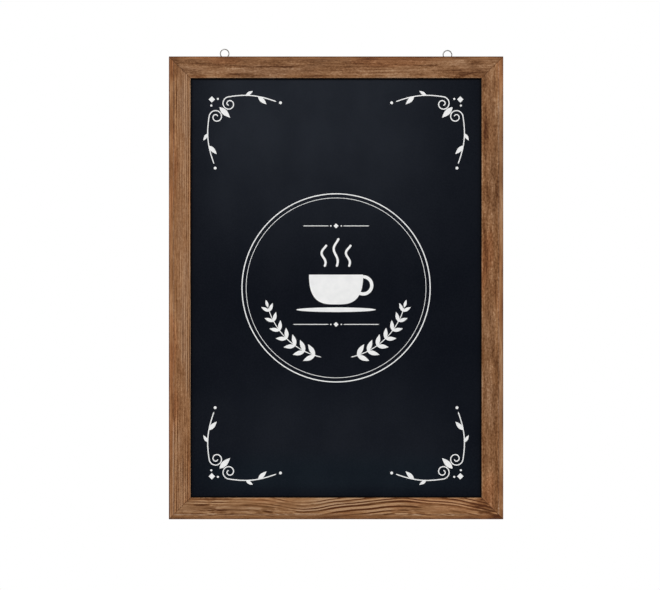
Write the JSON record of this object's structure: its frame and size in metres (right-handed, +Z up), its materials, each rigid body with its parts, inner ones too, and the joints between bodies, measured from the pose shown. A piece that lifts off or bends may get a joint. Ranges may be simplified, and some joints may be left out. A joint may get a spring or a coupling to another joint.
{
  "type": "wall chalkboard",
  "caption": "Black writing panel in a mitred flat wooden frame, hung on the wall by swinging ring hangers behind the top rail.",
  "frame": {"origin": "midway between the two wall hooks, in the wall plane, at the height where the rings' inner tops rest on the hooks", "axes": "+Z up along the board's height, +Y into the wall, +X to the right seen from the front; the writing face looks to -Y"},
  "size_m": [0.604, 0.0231, 0.8517],
  "materials": {
    "stained_pine": "satin",
    "black_lacquer": "matte",
    "zinc_plated_steel": "satin",
    "fastener_steel": "satin"
  },
  "bodies": {
    "board": {"top_rail": "stained_pine", "bottom_rail": "stained_pine", "left_stile": "stained_pine", "right_stile": "stained_pine", "writing_panel": "black_lacquer", "v_nail_top_left_outer": "fastener_steel", "v_nail_top_left_inner": "fastener_steel", "v_nail_top_right_outer": "fastener_steel", "v_nail_top_right_inner": "fastener_steel", "v_nail_bottom_left_outer": "fastener_steel", "v_nail_bottom_left_inner": "fastener_steel", "v_nail_bottom_right_outer": "fastener_steel", "v_nail_bottom_right_inner": "fastener_steel", "panel_point_top_1": "fastener_steel", "panel_point_top_2": "fastener_steel", "panel_point_top_3": "fastener_steel", "panel_point_bottom_1": "fastener_steel", "panel_point_bottom_2": "fastener_steel", "panel_point_bottom_3": "fastener_steel", "panel_point_left_1": "fastener_steel", "panel_point_left_2": "fastener_steel", "panel_point_left_3": "fastener_steel", "panel_point_left_4": "fastener_steel", "panel_point_right_1": "fastener_steel", "panel_point_right_2": "fastener_steel", "panel_point_right_3": "fastener_steel", "panel_point_right_4": "fastener_steel", "hanger_strap_left": "zinc_plated_steel", "hanger_strap_right": "zinc_plated_steel", "hanger_screw_left": "zinc_plated_steel", "hanger_screw_right": "zinc_plated_steel"},
    "ring_left": {"hanger_ring_left": "zinc_plated_steel"},
    "ring_right": {"hanger_ring_right": "zinc_plated_steel"}
  },
  "joints": [
    {"name": "ring_left_swing", "type": "hinge", "parent": "board", "child": "ring_left", "pos_m": [-0.202, -0.00248, -0.01345], "axis": [-1, 0, 0], "range_deg": [-47, 178]},
    {"name": "ring_right_swing", "type": "hinge", "parent": "board", "child": "ring_right", "pos_m": [0.202, -0.00248, -0.01565], "axis": [-1, 0, 0], "range_deg": [-23, 178]}
  ]
}
